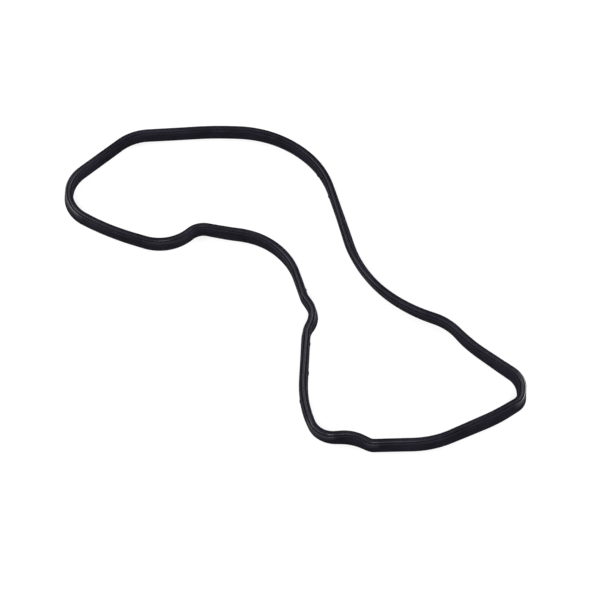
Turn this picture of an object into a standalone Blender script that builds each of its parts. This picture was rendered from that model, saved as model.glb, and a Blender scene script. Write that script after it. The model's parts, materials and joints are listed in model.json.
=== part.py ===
"""Valve cover gasket: one moulded rubber ring, swept along an S-shaped outline.

Units are metres, +Z is up. The ring lies on z = 0 with the origin under the
middle of its bounding box, +X along its longest side. The strand has a flat
base, two low ribs along each side that grip the groove, and two rounded
shoulders with a slightly taller round bead between them, which is the edge
that seals. The soft ring lies free, so a few stretches lean over on one edge
of the base.
"""
import math

import bpy

# The strand's section, seen end on
STRAND_WIDTH = 0.0051
BASE_CHAMFER = 0.0004
LOW_RIB_HEIGHT = 0.0015
WAIST_WIDTH = 0.0046
WAIST_HEIGHT = 0.0026
HIGH_RIB_WIDTH = 0.0049
HIGH_RIB_HEIGHT = 0.0037
SHOULDER_WIDTH = 0.0045
SHOULDER_FOOT = 0.0049
SHOULDER_HEIGHT = 0.0072
SHOULDER_RADIUS = 0.0007
VALLEY_DEPTH = 0.0004
BEAD_WIDTH = 0.0020
BEAD_RISE = 0.0006

# The height in the section that the outline below is measured at
OUTLINE_HEIGHT = 0.0034

# Each row is a corner of the ring's centre line, going anticlockwise from the
# far side: where its two straight runs would meet, the radius that rounds it,
# and how many degrees the section leans there, positive towards the outside.
OUTLINE = (
    ("top_run", -0.0497, 0.1232, 0.203, -3),
    ("top_left", -0.1012, 0.1194, 0.026, -7),
    ("left_tip", -0.1495, 0.0716, 0.022, -4),
    ("lower_left", -0.1110, 0.0470, 0.145, 5),
    ("step_foot", -0.0751, 0.0339, 0.024, 2),
    ("step_head", -0.0599, 0.0501, 0.011, 2),
    ("notch_run", -0.0399, 0.0454, 0.088, -2),
    ("notch_shoulder", -0.0094, 0.0409, 0.042, 6),
    ("boss_start", 0.0021, -0.0004, 0.007, 12),
    ("boss_top", 0.0093, -0.0128, 0.015, 8),
    ("boss_end", 0.0034, -0.0238, 0.014, -4),
    ("low_side", 0.0008, -0.0714, 0.078, 3),
    ("low_corner", 0.0097, -0.0948, 0.0125, 12),
    ("ramp_start", 0.0282, -0.0937, 0.026, -5),
    ("ramp_end", 0.0384, -0.0995, 0.006, 3),
    ("bottom_run", 0.0715, -0.0984, 0.051, 0),
    ("right_run", 0.1073, -0.0812, 0.090, -12),
    ("right_low", 0.1217, -0.0710, 0.009, -4),
    ("right_high", 0.1222, -0.0569, 0.014, 4),
    ("inner_run", 0.0947, -0.0333, 0.084, -7),
    ("inner_bend", 0.0835, -0.0185, 0.030, -16),
    ("neck", 0.0376, 0.0007, 0.077, -23),
    ("top_right", 0.0072, 0.1208, 0.061, -6),
)

# How finely the round stretches are stepped
ARC_STEP = 8.0
RUN_STEP = 0.012
SHORTEST_RUN = 0.0005
BEAD_START = 15
BEAD_STEPS = 3
SHOULDER_STEPS = 2

# Black nitrile rubber, straight from the mould
RUBBER_COLOUR = (0.016, 0.015, 0.019, 1.0)
RUBBER_ROUGHNESS = 0.5


def arc(centre_x, centre_y, radius, start, end, steps):
    """Points on a circle from one angle to another, both in degrees."""
    points = []
    for step in range(steps + 1):
        angle = math.radians(start + (end - start) * step / steps)
        points.append((centre_x + radius * math.cos(angle),
                       centre_y + radius * math.sin(angle)))
    return points


def half_section():
    """The right half of the section, from the base up to the bead's top."""
    bead_radius = BEAD_WIDTH / 2
    shoulder_x = SHOULDER_WIDTH / 2 - SHOULDER_RADIUS
    shoulder_y = SHOULDER_HEIGHT - SHOULDER_RADIUS
    points = [
        (STRAND_WIDTH / 2 - BASE_CHAMFER, 0.0),
        (STRAND_WIDTH / 2, BASE_CHAMFER),
        (STRAND_WIDTH / 2, LOW_RIB_HEIGHT),
        (WAIST_WIDTH / 2, WAIST_HEIGHT),
        (HIGH_RIB_WIDTH / 2, HIGH_RIB_HEIGHT),
        (SHOULDER_WIDTH / 2, SHOULDER_FOOT),
    ]
    points += arc(shoulder_x, shoulder_y, SHOULDER_RADIUS, 0, 90, SHOULDER_STEPS)
    points.append((bead_radius, SHOULDER_HEIGHT - VALLEY_DEPTH))
    bead_y = SHOULDER_HEIGHT + BEAD_RISE - bead_radius
    points += arc(0.0, bead_y, bead_radius, BEAD_START, 90, BEAD_STEPS)
    return points


def section():
    """The whole closed section, clockwise so that the swept faces point outwards.

    Its zero is the height that the outline is measured at.
    """
    right = half_section()
    left = [(-x, y) for x, y in reversed(right[:-1])]
    return [(x, y - OUTLINE_HEIGHT) for x, y in reversed(right + left)]


def rounded_corner(before, corner, after):
    """A corner's place, its turn, and how far its arc reaches along its runs."""
    x, y, radius, lean = corner[1:]
    way_in = math.atan2(y - before[2], x - before[1])
    way_out = math.atan2(after[2] - y, after[1] - x)
    turn = math.remainder(way_out - way_in, math.tau)
    return {"place": (x, y), "way_in": way_in, "way_out": way_out, "turn": turn,
            "radius": radius, "reach": radius * math.tan(abs(turn) / 2), "lean": lean}


def rounded_corners():
    """Every corner, with its arc shortened where two would run past each other."""
    count = len(OUTLINE)
    corners = []
    for i, corner in enumerate(OUTLINE):
        corners.append(rounded_corner(OUTLINE[i - 1], corner, OUTLINE[(i + 1) % count]))
    for i, here in enumerate(corners):
        there = corners[(i + 1) % count]
        run = math.dist(here["place"], there["place"])
        wanted = here["reach"] + there["reach"]
        if wanted > run:
            for corner in (here, there):
                corner["radius"] *= run / wanted
                corner["reach"] *= run / wanted
    return corners


def arc_points(corner):
    """The points of one corner's arc, up to the one before its end."""
    x, y = corner["place"]
    way = corner["way_in"]
    radius = math.copysign(corner["radius"], corner["turn"])
    centre_x = x - math.cos(way) * corner["reach"] - math.sin(way) * radius
    centre_y = y - math.sin(way) * corner["reach"] + math.cos(way) * radius
    steps = max(2, 2 * round(abs(math.degrees(corner["turn"])) / ARC_STEP / 2))
    points = []
    for step in range(steps):
        heading = way + corner["turn"] * step / steps
        points.append((centre_x + math.sin(heading) * radius,
                       centre_y - math.cos(heading) * radius))
    return points


def run_points(here, there):
    """The points of the straight run after one corner's arc, if it has any length."""
    x, y = here["place"]
    way = here["way_out"]
    length = math.dist(here["place"], there["place"]) - here["reach"] - there["reach"]
    if length < SHORTEST_RUN:
        return []
    steps = max(1, round(length / RUN_STEP))
    points = []
    for step in range(steps):
        along = here["reach"] + length * step / steps
        points.append((x + math.cos(way) * along, y + math.sin(way) * along))
    return points


def centre_line():
    """The ring's centre line, and the middle point of each corner with its lean."""
    corners = rounded_corners()
    points = []
    marks = []
    for here, there in zip(corners, corners[1:] + corners[:1]):
        bend = arc_points(here)
        marks.append((len(points) + len(bend) // 2, here["lean"]))
        points += bend + run_points(here, there)
    return points, marks


def leans_along(points, marks):
    """The section's lean at every point, eased from one corner to the next."""
    count = len(points)
    along = [0.0]
    for i in range(count):
        along.append(along[-1] + math.dist(points[i], points[(i + 1) % count]))
    leans = [0.0] * count
    for (first, lean_a), (last, lean_b) in zip(marks, marks[1:] + marks[:1]):
        span = (along[last] - along[first]) % along[-1]
        steps = (last - first) % count
        for step in range(steps):
            i = (first + step) % count
            share = ((along[i] - along[first]) % along[-1]) / span
            ease = share * share * (3 - 2 * share)
            leans[i] = math.radians(lean_a + (lean_b - lean_a) * ease)
    return leans


def resting_height(outline, lean):
    """How high the centre line lies when the leaning section touches z = 0."""
    return -min(x * math.sin(lean) + y * math.cos(lean) for x, y in outline)


def closed_poly(name, points):
    """A closed polyline as a curve object."""
    data = bpy.data.curves.new(name, "CURVE")
    data.dimensions = "3D"
    spline = data.splines.new("POLY")
    spline.points.add(len(points) - 1)
    for knot, place in zip(spline.points, points):
        knot.co = (*place, 1.0)
    spline.use_cyclic_u = True
    item = bpy.data.objects.new(name, data)
    bpy.context.collection.objects.link(item)
    return item


def rubber():
    """Moulded black rubber."""
    material = bpy.data.materials.new("moulded_rubber")
    material.use_nodes = True
    shader = material.node_tree.nodes["Principled BSDF"]
    shader.inputs["Base Color"].default_value = RUBBER_COLOUR
    shader.inputs["Roughness"].default_value = RUBBER_ROUGHNESS
    shader.inputs["Metallic"].default_value = 0.0
    material.diffuse_color = RUBBER_COLOUR
    return material


def gasket():
    """The ring: the section swept round the centre line, as one closed mesh."""
    outline = section()
    profile = closed_poly("strand_section", [(x, y, 0.0) for x, y in outline])
    profile.hide_render = True
    profile.display_type = "WIRE"

    points, marks = centre_line()
    leans = leans_along(points, marks)
    path = closed_poly("gasket_path", [(x, y, resting_height(outline, lean))
                                       for (x, y), lean in zip(points, leans)])
    path.data.twist_mode = "Z_UP"
    path.data.bevel_mode = "OBJECT"
    path.data.bevel_object = profile
    for knot, lean in zip(path.data.splines[0].points, leans):
        knot.tilt = lean

    bpy.context.view_layer.update()
    mesh = bpy.data.meshes.new_from_object(path.evaluated_get(
        bpy.context.evaluated_depsgraph_get()))
    mesh.name = "gasket"
    bpy.data.objects.remove(path)

    xs = [vertex.co.x for vertex in mesh.vertices]
    ys = [vertex.co.y for vertex in mesh.vertices]
    middle_x = (min(xs) + max(xs)) / 2
    middle_y = (min(ys) + max(ys)) / 2
    for vertex in mesh.vertices:
        vertex.co.x -= middle_x
        vertex.co.y -= middle_y
    mesh.shade_smooth()
    mesh.set_sharp_from_angle(angle=math.radians(40))
    mesh.materials.clear()
    mesh.materials.append(rubber())

    ring = bpy.data.objects.new("gasket", mesh)
    bpy.context.collection.objects.link(ring)
    return ring


for item in list(bpy.data.objects):
    bpy.data.objects.remove(item)
gasket()
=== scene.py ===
# %% [markdown]
# A valve cover gasket is the rubber ring between an engine's cylinder head and
# the cover that closes it. This one is a single moulding: a strand of black
# nitrile rubber, about 5 mm wide and 7.8 mm tall, that follows an S-shaped
# outline. The CAD model has its true form in few faces. Here it gets the finer
# form, the small moulded details and the finish that a close look shows.

import json
import math

import bmesh
import bpy
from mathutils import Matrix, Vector, noise

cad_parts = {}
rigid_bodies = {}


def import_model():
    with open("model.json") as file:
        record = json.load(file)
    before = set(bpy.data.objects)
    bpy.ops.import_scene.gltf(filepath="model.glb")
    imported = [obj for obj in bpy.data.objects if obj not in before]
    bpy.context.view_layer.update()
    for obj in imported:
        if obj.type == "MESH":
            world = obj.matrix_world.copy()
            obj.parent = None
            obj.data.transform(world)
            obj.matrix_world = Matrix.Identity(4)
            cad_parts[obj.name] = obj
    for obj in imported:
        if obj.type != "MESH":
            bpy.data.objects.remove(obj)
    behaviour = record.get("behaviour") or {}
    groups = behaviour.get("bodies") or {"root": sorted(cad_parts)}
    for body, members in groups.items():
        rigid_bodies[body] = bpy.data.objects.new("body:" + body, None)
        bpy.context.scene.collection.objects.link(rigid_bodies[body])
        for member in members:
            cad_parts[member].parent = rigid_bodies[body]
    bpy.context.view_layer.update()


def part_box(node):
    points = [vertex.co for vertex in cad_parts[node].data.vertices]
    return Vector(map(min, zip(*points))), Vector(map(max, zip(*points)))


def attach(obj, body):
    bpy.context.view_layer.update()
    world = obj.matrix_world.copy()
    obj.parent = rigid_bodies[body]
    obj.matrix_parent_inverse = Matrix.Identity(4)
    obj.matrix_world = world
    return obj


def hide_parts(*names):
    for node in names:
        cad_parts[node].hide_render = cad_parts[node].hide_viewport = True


MM = 0.001

for item in list(bpy.data.objects):
    bpy.data.objects.remove(item)
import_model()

# %% [markdown]
# The camera comes first, because every later choice is judged through it. The
# far side of the ring looks hardly smaller than its near side, so the picture
# was taken with a long lens. A long lens is a narrow angle of view: the sensor
# is 36 mm wide and the lens 128 mm. The angle of 54 degrees above the table is
# an estimate, from how the strand's thickness changes with its direction.

# %% Camera
AIM = Vector((7.10, -11.45, 0)) * MM
DISTANCE = 1.22
ELEVATION = math.radians(54)
LENS = 128.4
SENSOR_WIDTH = 36

camera_data = bpy.data.cameras.new("camera")
camera_data.lens = LENS
camera_data.sensor_width = SENSOR_WIDTH
camera = bpy.data.objects.new("camera", camera_data)
bpy.context.scene.collection.objects.link(camera)
away = Vector((0, -math.cos(ELEVATION), math.sin(ELEVATION)))
camera.location = AIM + away * DISTANCE
camera.rotation_euler = (math.pi / 2 - ELEVATION, 0, 0)
bpy.context.scene.camera = camera
print("camera at", tuple(round(value, 3) for value in camera.location))

# %% [markdown]
# Colours are easiest to choose as hex values, the way a colour picker shows
# them, but a shader works with light, which is linear. One function turns the
# first into the second, and one small function adds a node with its settings
# and its links, so that each material below reads like a list of what it does.

# %% Helpers for materials
def colour(code):
    """An sRGB hex colour as the linear values that a shader takes."""
    channels = [int(code[i:i + 2], 16) / 255 for i in (1, 3, 5)]
    linear = [c / 12.92 if c <= 0.04045 else ((c + 0.055) / 1.055) ** 2.4 for c in channels]
    return (*linear, 1.0)


def add_node(tree, kind, inputs=None, **settings):
    """Adds a node, sets its properties, and sets or links its inputs."""
    node = tree.nodes.new("ShaderNode" + kind)
    for name, value in settings.items():
        setattr(node, name, value)
    for name, value in (inputs or {}).items():
        if isinstance(value, bpy.types.NodeSocket):
            tree.links.new(value, node.inputs[name])
        else:
            node.inputs[name].default_value = value
    return node


# %% [markdown]
# The ring lies on a plain white table in soft light. The camera has to see a
# pure white table with a faint shadow beside the strand. A white surface that
# is lit that brightly would need lamps too strong for the rubber, so for the
# camera's rays the table is partly a white glow and partly a matt surface. The
# strand's sides mirror little of the table in the picture, so for every other
# ray the table is plain grey.

# %% White table
TABLE_SIZE = 12
TABLE_GLOW = 0.60
GLOW_STRENGTH = 1.29

bpy.ops.mesh.primitive_plane_add(size=TABLE_SIZE)
table = bpy.context.object
table.name = "white_table"

white = bpy.data.materials.new("white_table")
white.use_nodes = True
tree = white.node_tree
tree.nodes.clear()
rays = add_node(tree, "LightPath")
matt = add_node(tree, "BsdfDiffuse", {"Color": colour("#f4f4f4")})
glow = add_node(tree, "Emission", {"Color": (1, 1, 1, 1), "Strength": GLOW_STRENGTH})
seen = add_node(tree, "MixShader", {0: TABLE_GLOW, 1: matt.outputs[0], 2: glow.outputs[0]})
grey = add_node(tree, "BsdfDiffuse", {"Color": colour("#9a9a9f")})
mixed = add_node(tree, "MixShader", {0: rays.outputs["Is Camera Ray"], 1: grey.outputs[0],
                                     2: seen.outputs[0]})
add_node(tree, "OutputMaterial", {"Surface": mixed.outputs[0]})
table.data.materials.append(white)
print("share of the table that glows:", TABLE_GLOW)

# %% [markdown]
# Behind the table the camera sees pure white too. The room itself gives hardly
# any light, because light from everywhere would hide the shape of the strand.

# %% Room light and white background
ROOM_LIGHT = 0.04
BACKGROUND = 1.0

world = bpy.data.worlds.new("studio")
bpy.context.scene.world = world
world.use_nodes = True
tree = world.node_tree
tree.nodes.clear()
rays = add_node(tree, "LightPath")
dim = add_node(tree, "Background", {"Color": colour("#dcdbe6"), "Strength": ROOM_LIGHT})
bright = add_node(tree, "Background", {"Color": (1, 1, 1, 1), "Strength": BACKGROUND})
mixed = add_node(tree, "MixShader", {0: rays.outputs["Is Camera Ray"], 1: dim.outputs[0],
                                     2: bright.outputs[0]})
add_node(tree, "OutputWorld", {"Surface": mixed.outputs[0]})
print("room light:", ROOM_LIGHT)

# %% [markdown]
# Black rubber gives back so little light that its shape has to be drawn by a
# few soft lamps. Two stand behind the ring, left and right: a round bead that
# is seen from the front and above mirrors them along its top. Two lower ones at
# the sides and two in front fill the walls. Their powers are matched to how
# light each side of the strand looks in the picture.

# %% Softboxes: name, direction, distance in metres and power in watts
SOFTBOX_SIZE = 0.6
SOFTBOXES = (
    ("back_left_softbox", (-0.58, 0.50, 0.64), 1.2, 3.6),
    ("back_right_softbox", (0.60, 0.46, 0.65), 1.2, 6.6),
    ("left_softbox", (-0.85, 0.0, 0.52), 1.2, 5.4),
    ("right_softbox", (0.85, 0.0, 0.52), 1.2, 3.2),
    ("front_softbox", (0.0, -0.75, 0.62), 1.5, 10.0),
    ("front_left_softbox", (-0.65, -0.55, 0.5), 1.4, 2.0),
)


def softbox(name, direction, distance, power):
    """A square area lamp that shines at the ring from one direction."""
    data = bpy.data.lights.new(name, "AREA")
    data.shape = "SQUARE"
    data.size = SOFTBOX_SIZE
    data.energy = power
    lamp = bpy.data.objects.new(name, data)
    bpy.context.scene.collection.objects.link(lamp)
    towards = Vector(direction).normalized()
    lamp.location = AIM + towards * distance
    lamp.rotation_euler = towards.to_track_quat("Z", "Y").to_euler()


for row in SOFTBOXES:
    softbox(*row)
print("lamps:", len(SOFTBOXES))

# %% [markdown]
# The strand's section is the heart of the part. A flat foot sits in the
# cover's groove, and two low ribs along each side grip its walls. On top are
# two rounded shoulders and, between them, the bead that is squeezed against
# the head. The section could be typed in point by point, but then nothing in
# it could be changed without doing it all again. So it is drawn as a flat face
# and shaped in edit mode, in steps that can be done by hand: cut it into
# levels, set the width of each, pull down the valleys, extrude the bead and
# round the corners. These are its sizes.

# %% Sizes of the section
STRAND_WIDTH = 5.1 * MM
BASE_RADIUS = 0.4 * MM
LOW_RIB_HEIGHT = 1.5 * MM
WAIST_WIDTH = 4.6 * MM
WAIST_HEIGHT = 2.6 * MM
HIGH_RIB_WIDTH = 4.9 * MM
HIGH_RIB_HEIGHT = 3.7 * MM
SHOULDER_WIDTH = 4.5 * MM
SHOULDER_FOOT = 4.9 * MM
SHOULDER_HEIGHT = 7.2 * MM
SHOULDER_RADIUS = 0.7 * MM
VALLEY_DEPTH = 0.4 * MM
VALLEY_WIDTH = 0.2 * MM
BEAD_WIDTH = 2.0 * MM
BEAD_RISE = 0.6 * MM
RIB_ROUNDING = 0.45 * MM

bead_edge = BEAD_WIDTH / 2
valley_edge = bead_edge + VALLEY_WIDTH
crest_edge = SHOULDER_WIDTH / 2 - SHOULDER_RADIUS
valley_height = SHOULDER_HEIGHT - VALLEY_DEPTH
bead_height = SHOULDER_HEIGHT + BEAD_RISE
print("section, mm:", round(STRAND_WIDTH / MM, 1), "by", round(bead_height / MM, 1))

# %% [markdown]
# Edit mode works on what is selected. By hand that is a click, and in a script
# it is a test on each point's place, which still finds the right points after
# an earlier step has changed their order.

# %% Helpers that pick points, edges or faces by their place
TINY = 0.01 * MM


def pick(kind, test):
    """Selects only what has all its points, and nothing else, pass the test."""
    bpy.ops.mesh.select_mode(type=kind)
    bpy.ops.mesh.select_all(action="DESELECT")
    shape = bmesh.from_edit_mesh(bpy.context.object.data)
    items = {"VERT": shape.verts, "EDGE": shape.edges, "FACE": shape.faces}[kind]
    count = 0
    for item in items:
        points = [item.co] if kind == "VERT" else [vert.co for vert in item.verts]
        if all(test(point) for point in points):
            item.select_set(True)
            count += 1
    bmesh.update_edit_mesh(bpy.context.object.data)
    return count


def near(value, wanted):
    """True where two lengths are the same to within a hundredth of a millimetre."""
    return abs(value - wanted) < TINY


# %% [markdown]
# A plane is the blank. It is cut upright where the bead, the valleys and the
# shoulders will be, and level where the ribs and the waist will be. Bisect
# makes the cuts, because it takes the exact place of each. Then the outer
# points of each level are moved in to its width.

# %% Draw the section's blank and give each level its width
bpy.ops.object.select_all(action="DESELECT")
bpy.ops.mesh.primitive_plane_add(size=1)
section = bpy.context.object
section.name = "strand_section"
bpy.ops.object.mode_set(mode="EDIT")
bpy.ops.transform.resize(value=(STRAND_WIDTH, SHOULDER_HEIGHT, 1))
bpy.ops.transform.translate(value=(0, SHOULDER_HEIGHT / 2, 0))
for x in (bead_edge, valley_edge, crest_edge):
    for side in (-1, 1):
        bpy.ops.mesh.select_all(action="SELECT")
        bpy.ops.mesh.bisect(plane_co=(side * x, 0, 0), plane_no=(1, 0, 0))
levels = (
    (LOW_RIB_HEIGHT, STRAND_WIDTH),
    (WAIST_HEIGHT, WAIST_WIDTH),
    (HIGH_RIB_HEIGHT, HIGH_RIB_WIDTH),
    (SHOULDER_FOOT, SHOULDER_WIDTH),
    (SHOULDER_HEIGHT, SHOULDER_WIDTH),
)
for height, width in levels[:-1]:
    bpy.ops.mesh.select_all(action="SELECT")
    bpy.ops.mesh.bisect(plane_co=(0, height, 0), plane_no=(0, 1, 0))
for height, width in levels:
    pick("VERT", lambda p: near(p.y, height) and abs(p.x) > crest_edge + TINY)
    bpy.ops.transform.resize(value=(width / STRAND_WIDTH, 1, 1), center_override=(0, 0, 0))
print("levels, mm:", [(round(height / MM, 1), round(width / MM, 1)) for height, width in levels])

# %% [markdown]
# The inner points of the top edge go down and make the valleys. The edge in
# the middle, between them, is then extruded up and becomes the bead.

# %% Pull the valleys down and extrude the bead
found = pick("VERT", lambda p: near(p.y, SHOULDER_HEIGHT) and abs(p.x) < valley_edge + TINY)
print("valley points:", found)
bpy.ops.transform.translate(value=(0, -VALLEY_DEPTH, 0))
found = pick("EDGE", lambda p: near(p.y, valley_height) and abs(p.x) < bead_edge + TINY)
print("edge under the bead:", found)
bpy.ops.mesh.extrude_region_move(
    TRANSFORM_OT_translate={"value": (0, bead_height - valley_height, 0)})

# %% [markdown]
# Rubber leaves the mould with no sharp edge. A bevel on points, not on edges,
# rounds the corners of a flat face. Each row below says which pair of corners,
# by height and by distance from the middle, and gives its radius and how many
# steps make the round. The bead and the shoulders stop a little short of their
# full radius, because points that fall together would spoil the sweep.

# %% Round the corners of the section
BEAD_ROUNDING = 0.999 * bead_edge
SHOULDER_ROUNDING = 0.95 * SHOULDER_RADIUS
CREST_ROUNDING = 0.12 * MM
VALLEY_ROUNDING = 0.08 * MM

corners = (
    (bead_height, bead_edge, BEAD_ROUNDING, 8),
    (SHOULDER_HEIGHT, SHOULDER_WIDTH / 2, SHOULDER_ROUNDING, 5),
    (SHOULDER_HEIGHT, crest_edge, CREST_ROUNDING, 2),
    (valley_height, valley_edge, VALLEY_ROUNDING, 2),
    (SHOULDER_FOOT, SHOULDER_WIDTH / 2, RIB_ROUNDING, 3),
    (HIGH_RIB_HEIGHT, HIGH_RIB_WIDTH / 2, RIB_ROUNDING, 4),
    (WAIST_HEIGHT, WAIST_WIDTH / 2, RIB_ROUNDING, 4),
    (LOW_RIB_HEIGHT, STRAND_WIDTH / 2, RIB_ROUNDING, 4),
    (0, STRAND_WIDTH / 2, BASE_RADIUS, 3),
)
for height, x, radius, steps in corners:
    found = pick("VERT", lambda p: near(p.y, height) and near(abs(p.x), x))
    bpy.ops.mesh.bevel(offset=radius, offset_type="OFFSET", affect="VERTICES", segments=steps)
    print("rounded", found, "corners at", round(height / MM, 2))

# %% [markdown]
# A curve can be swept along another curve, and a mesh can't. So the faces are
# joined into one and deleted, which leaves only their outer edge, and the edge
# becomes a curve. Its zero goes to 3.4 mm above the foot: the strand's sides
# are seen about that high, so the outline below is measured there.

# %% Keep only the section's outline, as a curve
OUTLINE_HEIGHT = 3.4 * MM

bpy.ops.mesh.select_mode(type="FACE")
bpy.ops.mesh.select_all(action="SELECT")
bpy.ops.transform.translate(value=(0, -OUTLINE_HEIGHT, 0))
bpy.ops.mesh.dissolve_faces()
bpy.ops.mesh.select_all(action="SELECT")
bpy.ops.mesh.delete(type="ONLY_FACE")
bpy.ops.object.mode_set(mode="OBJECT")
bpy.ops.object.convert(target="CURVE")
section = bpy.context.object
section_points = [Vector(point.co[:2]) for point in section.data.splines[0].points]
print("section points:", len(section_points), "closed:", section.data.splines[0].use_cyclic_u)

# %% [markdown]
# The outline could be drawn as one free curve, but then no stretch of it could
# be changed alone. It is drawn the way a toolmaker dimensions it: as straight
# runs that meet in corners, each rounded with its own radius. The ring in the
# picture lies free, so it also leans over on one edge of its foot in a few
# stretches, and each corner says by how many degrees, positive towards the
# outside. The values were fitted to the ring's two edges in the picture and
# then rounded, so they are measures of it and not a designer's round figures.
# The radii and the leans are the least certain of them.

# %% Corners of the outline: name, x, y, radius and lean, in millimetres and degrees
OUTLINE = (
    ("top_run", -49.7, 123.2, 203, -3),
    ("top_left", -101.2, 119.4, 26, -7),
    ("left_tip", -149.5, 71.6, 22, -4),
    ("lower_left", -111.0, 47.0, 145, 5),
    ("step_foot", -75.1, 33.9, 24, 2),
    ("step_head", -59.9, 50.1, 11, 2),
    ("notch_run", -39.9, 45.4, 88, -2),
    ("notch_shoulder", -9.4, 40.9, 42, 6),
    ("boss_start", 2.1, -0.4, 7, 12),
    ("boss_top", 9.3, -12.8, 15, 8),
    ("boss_end", 3.4, -23.8, 14, -4),
    ("low_side", 0.8, -71.4, 78, 3),
    ("low_corner", 9.7, -94.8, 12.5, 12),
    ("ramp_start", 28.2, -93.7, 26, -5),
    ("ramp_end", 38.4, -99.5, 6, 3),
    ("bottom_run", 71.5, -98.4, 51, 0),
    ("right_run", 107.3, -81.2, 90, -12),
    ("right_low", 121.7, -71.0, 9, -4),
    ("right_high", 122.2, -56.9, 14, 4),
    ("inner_run", 94.7, -33.3, 84, -7),
    ("inner_bend", 83.5, -18.5, 30, -16),
    ("neck", 37.6, 0.7, 77, -23),
    ("top_right", 7.2, 120.8, 61, -6),
)
print("corners:", len(OUTLINE))

# %% [markdown]
# A round corner is an arc that touches both of its straight runs. How far the
# arc reaches along them follows from its radius and from how much the line
# turns. Where two arcs want more room than the run between them has, both are
# made smaller by the same share.

# %% Round the corners of the outline
def rounded_corners(outline):
    """Each corner's place, headings, radius and reach, in metres and radians."""
    corners = []
    for i, (_, x, y, radius, lean) in enumerate(outline):
        before = outline[i - 1]
        after = outline[(i + 1) % len(outline)]
        way_in = math.atan2(y - before[2], x - before[1])
        way_out = math.atan2(after[2] - y, after[1] - x)
        turn = math.remainder(way_out - way_in, math.tau)
        reach = radius * math.tan(abs(turn) / 2)
        corners.append({"place": Vector((x, y)) * MM, "way_in": way_in, "way_out": way_out,
                        "turn": turn, "radius": radius * MM, "reach": reach * MM,
                        "lean": math.radians(lean)})
    for here, there in zip(corners, corners[1:] + corners[:1]):
        run = (there["place"] - here["place"]).length
        share = min(1, run / (here["reach"] + there["reach"]))
        for corner in (here, there):
            corner["reach"] *= share
            corner["radius"] *= share
    return corners


ring_corners = rounded_corners(OUTLINE)
print("smallest radius, mm:", round(min(corner["radius"] for corner in ring_corners) / MM, 1))

# %% [markdown]
# The sweep needs stations along the line. One every millimetre is fine enough
# for the tightest corner to look round.

# %% Set out stations along the outline
STEP = 1.0 * MM


def heading(angle):
    """The unit vector of a direction in the plane."""
    return Vector((math.cos(angle), math.sin(angle)))


def centre_line(corners):
    """Points about STEP apart along the outline, and each corner's middle point."""
    points = []
    marks = []
    for here, there in zip(corners, corners[1:] + corners[:1]):
        side = math.copysign(1, here["turn"])
        start = here["place"] - heading(here["way_in"]) * here["reach"]
        centre = start + heading(here["way_in"] + side * math.pi / 2) * here["radius"]
        steps = 2 * max(2, round(here["radius"] * abs(here["turn"]) / STEP / 2))
        marks.append((len(points) + steps // 2, here["lean"]))
        for step in range(steps):
            way = here["way_in"] + here["turn"] * step / steps
            points.append(centre - heading(way + side * math.pi / 2) * here["radius"])
        end = here["place"] + heading(here["way_out"]) * here["reach"]
        run = there["place"] - heading(here["way_out"]) * there["reach"] - end
        steps = round(run.length / STEP)
        for step in range(steps):
            points.append(end + run * step / steps)
    return points, marks


ring_points, ring_marks = centre_line(ring_corners)
print("stations:", len(ring_points))

# %% [markdown]
# Between two corners the lean changes gently, slow at both ends, because a
# thick strand of rubber can't twist all at once.

# %% Ease the lean from corner to corner
def leans_along(points, marks):
    """The lean at every point, and how far along the strand every point is."""
    count = len(points)
    along = [0.0]
    for i in range(count):
        along.append(along[-1] + (points[(i + 1) % count] - points[i]).length)
    leans = [0.0] * count
    for (first, lean_a), (last, lean_b) in zip(marks, marks[1:] + marks[:1]):
        span = (along[last] - along[first]) % along[-1]
        for step in range((last - first) % count):
            i = (first + step) % count
            share = ((along[i] - along[first]) % along[-1]) / span
            leans[i] = lean_a + (lean_b - lean_a) * share * share * (3 - 2 * share)
    return leans, along


leans, along = leans_along(ring_points, ring_marks)
strand_length = along[-1]
print("strand length, mm:", round(strand_length / MM, 1))

# %% [markdown]
# A soft ring on a table is never quite even. Noise moves the centre line about
# a tenth of a millimetre to and fro and turns the section by about a degree,
# in waves some 30 mm long. The waves are made up, in keeping with the small
# wobbles in the picture. The noise is read at each point's own place, so the
# ring still closes on itself, and in three layers far apart, so that its three
# values have nothing to do with each other.

# %% Small unevenness of the soft strand
WANDER = 0.2 * MM
TWIST = math.radians(1.8)
WAVES_PER_METRE = 35
LAYERS = (Vector((0.3, 0.7, 5.2)), Vector((0.3, 0.7, 11.4)), Vector((0.3, 0.7, 17.6)))

for i, place in enumerate(ring_points):
    spot = place.to_3d() * WAVES_PER_METRE
    to_x, to_y, turn = [noise.noise(spot + layer) for layer in LAYERS]
    ring_points[i] = place + Vector((to_x, to_y)) * WANDER
    leans[i] += turn * TWIST
print("leans, degrees:", round(math.degrees(min(leans)), 1), round(math.degrees(max(leans)), 1))

# %% [markdown]
# Now the section is swept round the outline. It could be extruded along it
# piece by piece, but a curve with a bevel object does it in one go and keeps
# the section upright. Each point of the curve carries a tilt, which is the
# lean, and a height, so that the leaning section still touches the table.
# Converting the curve to a mesh gives rows of clean four-sided faces that
# follow the strand.

# %% Sweep the section round the outline
def resting_height(lean):
    """How high the centre line lies when the leaning section touches the table."""
    return -min(p.x * math.sin(lean) + p.y * math.cos(lean) for p in section_points)


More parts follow.
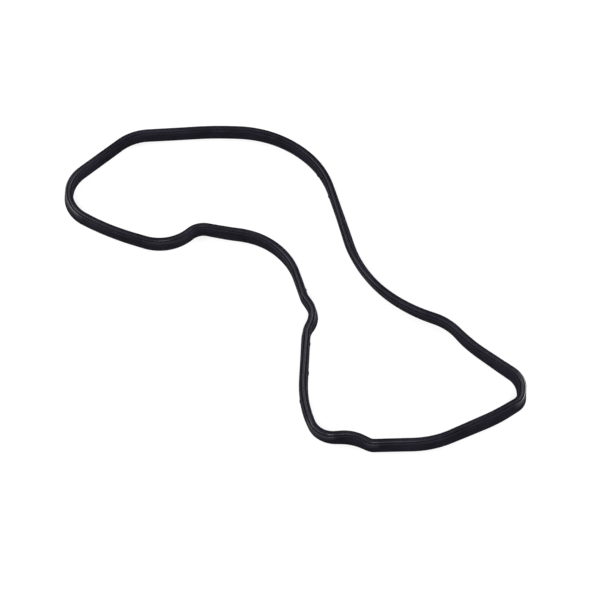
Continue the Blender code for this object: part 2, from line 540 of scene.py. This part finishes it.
path = bpy.data.curves.new("ring_path", "CURVE")
path.dimensions = "3D"
path.twist_mode = "Z_UP"
path.bevel_mode = "OBJECT"
path.bevel_object = section
line = path.splines.new("POLY")
line.points.add(len(ring_points) - 1)
line.use_cyclic_u = True
for knot, place, lean in zip(line.points, ring_points, leans):
    knot.co = (place.x, place.y, resting_height(lean), 1)
    knot.tilt = lean
ring = bpy.data.objects.new("rubber_ring", path)
bpy.context.scene.collection.objects.link(ring)
bpy.ops.object.select_all(action="DESELECT")
ring.select_set(True)
bpy.context.view_layer.objects.active = ring
bpy.ops.object.convert(target="MESH")
ring = bpy.context.object
bpy.data.objects.remove(section)
print("ring faces:", len(ring.data.polygons))

# %% [markdown]
# The outline is measured from a point inside the ring, and the CAD ring from
# the middle of its box, so the new ring is moved there. It is a hair larger or
# smaller than the CAD ring, because it has finer steps and small waves, so it
# is also scaled to lie just inside the CAD ring's box.

# %% Point the faces outwards and set the ring where the CAD ring is
INSIDE = 0.9999

bpy.ops.object.mode_set(mode="EDIT")
bpy.ops.mesh.select_all(action="SELECT")
bpy.ops.mesh.normals_make_consistent(inside=False)
bpy.ops.object.mode_set(mode="OBJECT")


def mesh_box(mesh):
    """The lowest and highest corner of a mesh."""
    places = [vertex.co for vertex in mesh.vertices]
    return [Vector([furthest(place[axis] for place in places) for axis in range(3)])
            for furthest in (min, max)]


low, high = mesh_box(ring.data)
cad_low, cad_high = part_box("gasket")
shift = (cad_low + cad_high) / 2 - (low + high) / 2
shift.z = cad_low.z - low.z
fit = [(cad_high[axis] - cad_low[axis]) / (high[axis] - low[axis]) * INSIDE for axis in range(3)]
for vertex in ring.data.vertices:
    vertex.co += shift
    for axis in range(3):
        vertex.co[axis] *= fit[axis]
print("moved by, mm:", [round(value / MM, 3) for value in shift])
print("fitted by:", [round(ratio, 5) for ratio in fit])

# %% [markdown]
# Smooth shading hides the small steps of the round stretches. Only edges that
# turn by more than 50 degrees would stay sharp.

# %% Shade the ring smooth
SHARP_ANGLE = math.radians(50)

bpy.ops.object.shade_smooth_by_angle(angle=SHARP_ANGLE)
print("smooth faces:", sum(face.use_smooth for face in ring.data.polygons))

# %% [markdown]
# A material can follow the strand only if every point knows where on it it
# is. The sweep made the points station by station, so their order gives both:
# the height in the section, and a place on a drum as long round as the strand.
# On the drum one turn is the whole strand, so along the strand a pattern meets
# itself without a seam, and a pattern squeezed across the drum runs along the
# strand. Across the strand there is one jump, where the section's last point
# meets its first, in a strip a fifth of a millimetre wide on top of the bead,
# which is too narrow to see.

# %% Where each point is on the strand
def store(mesh, name, kind, values):
    """Keeps one value for every point of the mesh, for the material to read."""
    layer = mesh.attributes.new(name, kind, "POINT")
    layer.data.foreach_set("value" if kind == "FLOAT" else "vector", values)


girth = [0.0]
for i, place in enumerate(section_points):
    girth.append(girth[-1] + (section_points[(i + 1) % len(section_points)] - place).length)
drum_radius = strand_length / math.tau
heights = []
drum = []
for station in range(len(ring_points)):
    turn = math.tau * along[station] / strand_length
    for k, place in enumerate(section_points):
        heights.append((place.y + OUTLINE_HEIGHT) / MM)
        drum += [drum_radius * math.cos(turn), drum_radius * math.sin(turn), girth[k]]
store(ring.data, "section_height", "FLOAT", heights)
store(ring.data, "strand_place", "FLOAT_VECTOR", drum)
print("points with a place:", len(heights), "of", len(ring.data.vertices))

# %% [markdown]
# Where the strand bends tightly, the skin on the outside of the bend is
# stretched, and in the picture it shines more. How tight a bend is can be
# measured: half way between the points 6 mm before and 6 mm after a station
# lies the side that the strand bends towards, and the further off it is, the
# tighter the bend. The two ends of the ring shine most in the picture, perhaps
# because handling rubs them most, so the other bends get a third of that.

# %% How much the skin is stretched
REACH = round(6 * MM / STEP)
# How far off the half way point lies, from an easy bend to a tight one
BEND_RANGE = (0.35 * MM, 1.0 * MM)
# How far out on the strand, from beside its middle to its outer half
SIDE_RANGE = (0.4 * MM, 1.6 * MM)
# How high on the section, from its upper rib to its shoulder
LEVEL_RANGE = (3.7 * MM, 6.4 * MM)
# How far from the ring's middle its two ends begin, and are rubbed in full
ENDS_RANGE = (95 * MM, 118 * MM)
UNRUBBED = 0.33


def share_of(value, low, high):
    """How far a value is from low to high, between none and all of it."""
    return max(0.0, min(1.0, (value - low) / (high - low)))


def bend_at(i):
    """Which way the strand bends at a station, longer where it is tighter."""
    after = (i + REACH) % len(ring_points)
    return (ring_points[i - REACH] + ring_points[after]) / 2 - ring_points[i]


stretch = []
for station, centre in enumerate(ring_points):
    bend = bend_at(station)
    tightness = share_of(bend.length, *BEND_RANGE)
    for k, place in enumerate(section_points):
        point = ring.data.vertices[station * len(section_points) + k].co
        side = Vector((point.x - shift.x, point.y - shift.y)) - centre
        outer = share_of(-side.dot(bend.normalized()), *SIDE_RANGE)
        level = share_of(place.y + OUTLINE_HEIGHT, *LEVEL_RANGE)
        rubbed = UNRUBBED + (1 - UNRUBBED) * share_of(abs(point.x), *ENDS_RANGE)
        stretch.append(tightness * level * rubbed * outer)
store(ring.data, "stretched", "FLOAT", stretch)
print("points with some stretch:", sum(value > 0 for value in stretch), "of", len(stretch))

# %% [markdown]
# A few small nubs stand out low on the strand's sides, as moulds leave them
# where their halves meet and the flash is trimmed off. Each is a patch of some
# 8 to 27 of the strand's small faces, up to 2.6 mm long, extruded outwards by a
# quarter of a millimetre and made smaller at its end. A face belongs to a nub
# if it is near its place, between its foot and its top, and looks sideways.

# %% Nubs left by the mould: x and y in millimetres, and which way they point
NUB_REACH = 0.25 * MM
NUB_HALF_LENGTH = 1.3 * MM
NUB_FOOT = 0.5 * MM
NUB_TOP = 2.2 * MM
STRAND_SEARCH = 3.5 * MM
SIDEWAYS = 0.7
NUB_TAPER = (1, 0.5, 0.6)
NUBS = (
    (24.0, 62.3, -1),
    (19.0, 77.9, -1),
    (13.0, -42.9, 1),
    (12.0, -62.5, 1),
    (7.3, -81.7, -1),
    (10.5, -5.0, 1),
)


def in_nub(face, x, y, way):
    """True for a face that looks sideways and lies low, close to the nub's place."""
    middle = face.calc_center_median()
    beside = abs(middle.x - x * MM) < STRAND_SEARCH and abs(middle.y - y * MM) < NUB_HALF_LENGTH
    return beside and NUB_FOOT < middle.z < NUB_TOP and face.normal.x * way > SIDEWAYS


bpy.ops.object.mode_set(mode="EDIT")
bpy.ops.mesh.select_mode(type="FACE")
for x, y, way in NUBS:
    bpy.ops.mesh.select_all(action="DESELECT")
    shape = bmesh.from_edit_mesh(ring.data)
    found = [face for face in shape.faces if in_nub(face, x, y, way)]
    middles = [face.calc_center_median() for face in found]
    for face in found:
        face.select_set(True)
    bmesh.update_edit_mesh(ring.data)
    outwards = Vector((way * NUB_REACH, 0, 0))
    centre = sum(middles, Vector()) / len(middles) + outwards
    bpy.ops.mesh.extrude_region_move(TRANSFORM_OT_translate={"value": outwards})
    bpy.ops.transform.resize(value=NUB_TAPER, center_override=centre)
    print("nub of", len(middles), "faces at", [round(value / MM, 1) for value in centre])
bpy.ops.object.mode_set(mode="OBJECT")

# %% [markdown]
# The rubber is taken to be nitrile filled with carbon black and pressed in a
# steel mould. Its grey is never quite even: the compound flows along the mould
# and leaves faint streaks, and a little wax and talc settles on the skin. The
# mould's surface gives it a fine grain, finer than a pixel of the picture, so
# the grain is drawn coarser than life, just enough to be felt. The patterns
# could be painted on a picture and wrapped round the strand, but noise needs no
# wrapping and can be changed with one number. Each size below is how far apart
# the largest features of a pattern are.

# %% Patterns in the rubber: name, where it is read, size, detail and roughness
STREAK_LENGTH = 18 * MM
STREAK_WIDTH = 0.82 * MM
CLOUD_SIZE = 14 * MM
MOTTLE_SIZE = 2.4 * MM
GRAIN_SIZE = 0.53 * MM
SPECK_SIZE = 0.87 * MM

rubber = bpy.data.materials.new("moulded_nitrile_rubber")
rubber.use_nodes = True
tree = rubber.node_tree
shader = tree.nodes["Principled BSDF"]
place = add_node(tree, "TexCoord").outputs["Object"]
strand = add_node(tree, "Attribute", attribute_name="strand_place").outputs["Vector"]
squeeze = (1, 1, STREAK_LENGTH / STREAK_WIDTH)
squeezed = add_node(tree, "VectorMath", {0: strand, 1: squeeze}, operation="MULTIPLY").outputs[0]

patterns = {}
for name, vector, size, detail, roughness in (
    ("streaks", squeezed, STREAK_LENGTH, 3, 0.5),
    ("clouds", place, CLOUD_SIZE, 3, 0.5),
    ("mottle", place, MOTTLE_SIZE, 4, 0.6),
    ("grain", place, GRAIN_SIZE, 3, 0.6),
    ("specks", place, SPECK_SIZE, 1, 0.5),
):
    texture = add_node(tree, "TexNoise", {"Vector": vector, "Scale": 1 / size,
                                          "Detail": detail, "Roughness": roughness})
    patterns[name] = texture.outputs["Fac"]
print("patterns:", list(patterns))

# %% [markdown]
# The colour is a dark violet grey that drifts between two close tones, because
# one flat tone looks like paint. Where the pattern called specks is at its
# highest, a little pale dust lies on the rubber. A Multiply Add node in a loop
# adds the patterns up, each with its own share.

# %% Colour of the rubber
DARK_RUBBER = "#1f1d25"
LIGHT_RUBBER = "#2c2a34"
PALE_DUST = "#5f5c66"
TONE_SHARES = (("clouds", 0.45), ("streaks", 0.35), ("mottle", 0.20))
TONE_RANGE = {"From Min": 0.40, "From Max": 0.60}
DUST_RANGE = {"From Min": 0.74, "From Max": 0.80, "To Max": 0.35}


def add_up(first, shares):
    """A first value, plus some others that are each multiplied by a share."""
    total = first
    for value, share in shares:
        total = add_node(tree, "Math", {0: value, 1: share, 2: total},
                         operation="MULTIPLY_ADD").outputs[0]
    return total


tone = add_up(0.0, [(patterns[name], share) for name, share in TONE_SHARES])
lightness = add_node(tree, "MapRange", {"Value": tone, **TONE_RANGE}).outputs["Result"]
dust = add_node(tree, "MapRange", {"Value": patterns["specks"], **DUST_RANGE}).outputs["Result"]
# A Mix node names its sockets alike, so they are given by number: 0 is the
# share, 6 and 7 are the two colours, and output 2 is the mixed colour
body = add_node(tree, "Mix", {0: lightness, 6: colour(DARK_RUBBER), 7: colour(LIGHT_RUBBER)},
                data_type="RGBA").outputs[2]
skin = add_node(tree, "Mix", {0: dust, 6: body, 7: colour(PALE_DUST)},
                data_type="RGBA").outputs[2]
tree.links.new(skin, shader.inputs["Base Color"])
print("colours:", DARK_RUBBER, LIGHT_RUBBER, PALE_DUST)

# %% [markdown]
# Gloss has two parts: how rough the skin is, and how much of the light it
# mirrors. Moulded rubber has a roughness of about 0.5 and an IOR of about 1.5,
# but its sides show hardly any gloss in the picture, so the mirrored share is
# turned far down from the usual 0.5. It is stronger on the bead, perhaps
# because that part of the mould is polished, and strongest where the skin is
# stretched. On the far run the bead is duller in the picture, for a reason
# that can't be seen in it, so most of the bead's share fades there too.

# %% Gloss of the rubber
RUBBER_IOR = 1.5
GLOSS_SHARES = (("mottle", 0.6), ("streaks", 0.4))
ROUGHNESS_RANGE = {"From Min": 0.35, "From Max": 0.65, "To Min": 0.44, "To Max": 0.54}
# The first is a height on the section in millimetres, where the bead begins, and
# the second a depth in the ring, where its far run begins
BEAD_RANGE = {"From Min": 7.0, "From Max": 7.3}
FAR_RUN_RANGE = {"From Min": 82 * MM, "From Max": 98 * MM, "To Min": 1.0, "To Max": 0.15}
BODY_SHINE = 0.03
BEAD_SHINE = 0.19
STRETCHED_SHINE = 0.95
BEAD_SMOOTHER = 0.19
STRETCHED_SMOOTHER = 0.20
DUST_ROUGHER = 0.5

height = add_node(tree, "Attribute", attribute_name="section_height").outputs["Fac"]
stretched = add_node(tree, "Attribute", attribute_name="stretched").outputs["Fac"]
bead = add_node(tree, "MapRange", {"Value": height, **BEAD_RANGE}).outputs["Result"]
depth = add_node(tree, "SeparateXYZ", {"Vector": place}).outputs["Y"]
near_side = add_node(tree, "MapRange", {"Value": depth, **FAR_RUN_RANGE}).outputs["Result"]
shiny_bead = add_node(tree, "Math", {0: bead, 1: near_side}, operation="MULTIPLY").outputs[0]
shine = add_up(BODY_SHINE, [(shiny_bead, BEAD_SHINE), (stretched, STRETCHED_SHINE)])

grime = add_up(0.0, [(patterns[name], share) for name, share in GLOSS_SHARES])
rough = add_node(tree, "MapRange", {"Value": grime, **ROUGHNESS_RANGE}).outputs["Result"]
rough = add_up(rough, [(bead, -BEAD_SMOOTHER), (stretched, -STRETCHED_SMOOTHER),
                       (dust, DUST_ROUGHER)])
tree.links.new(rough, shader.inputs["Roughness"])
shader.inputs["IOR"].default_value = RUBBER_IOR
tree.links.new(shine, shader.inputs["Specular IOR Level"])
print("mirrored share, body and bead:", BODY_SHINE, BODY_SHINE + BEAD_SHINE)

# %% [markdown]
# The skin is not quite flat either. Lumps as large as the mottle and the fine
# grain tilt it a little, as a bump, because faces that small would be millions
# and nobody would see their outline.

# %% Grain of the skin
LUMPS = {"Strength": 0.5, "Distance": 0.06 * MM}
GRAIN = {"Strength": 0.45, "Distance": 0.03 * MM}

lumps = add_node(tree, "Bump", {"Height": patterns["mottle"], **LUMPS}).outputs["Normal"]
grain = add_node(tree, "Bump", {"Height": patterns["grain"], "Normal": lumps, **GRAIN})
tree.links.new(grain.outputs["Normal"], shader.inputs["Normal"])
ring.data.materials.clear()
ring.data.materials.append(rubber)
print("rubber nodes:", len(tree.nodes))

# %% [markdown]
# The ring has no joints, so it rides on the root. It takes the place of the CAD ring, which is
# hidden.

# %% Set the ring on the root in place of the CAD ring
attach(ring, "root")
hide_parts("gasket")
print("the ring replaces the gasket")

# %% [markdown]
# The standard view shows colours as they were chosen, with no film curve.

# %% Colour management
bpy.context.scene.view_settings.view_transform = "Standard"
bpy.context.view_layer.update()
